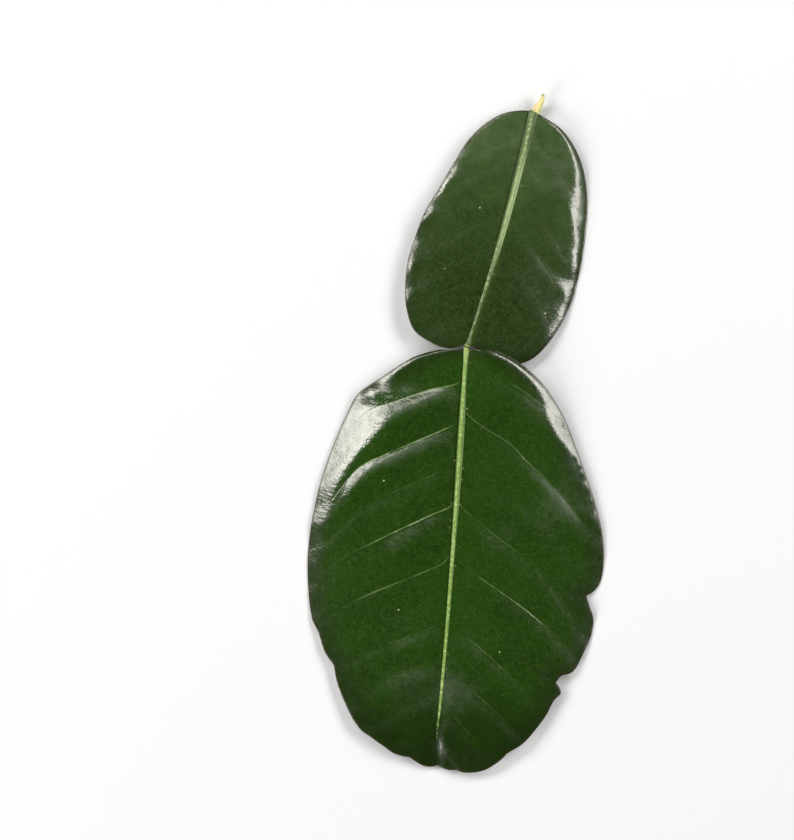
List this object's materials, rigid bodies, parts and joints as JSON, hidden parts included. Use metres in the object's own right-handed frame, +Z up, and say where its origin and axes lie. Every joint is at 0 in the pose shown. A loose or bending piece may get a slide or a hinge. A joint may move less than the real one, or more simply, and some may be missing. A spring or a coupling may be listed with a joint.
{
  "type": "kaffir lime leaf",
  "caption": "Picked double leaf of makrut lime: a broad glossy leaf blade, jointed to a leaf stalk with broad wings and a short torn foot.",
  "frame": {"origin": "middle of the leaf's footprint, on the surface that it rests on", "axes": "+Z up out of the glossy face, +Y along the blade's midrib towards the stalk, +X to the right of the leaf seen from above"},
  "size_m": [0.052, 0.12, 0.0044],
  "materials": {
    "blade_skin": "glossy waxy leaf skin, dark green above with fine oil dots and paler veins, dull pale green beneath",
    "wing_skin": "glossy waxy leaf skin, dark green above with a pale green midrib, torn cream fibre at the foot"
  },
  "bodies": {
    "root": {"leaf_blade": "blade_skin", "winged_stalk": "wing_skin"}
  },
  "joints": []
}
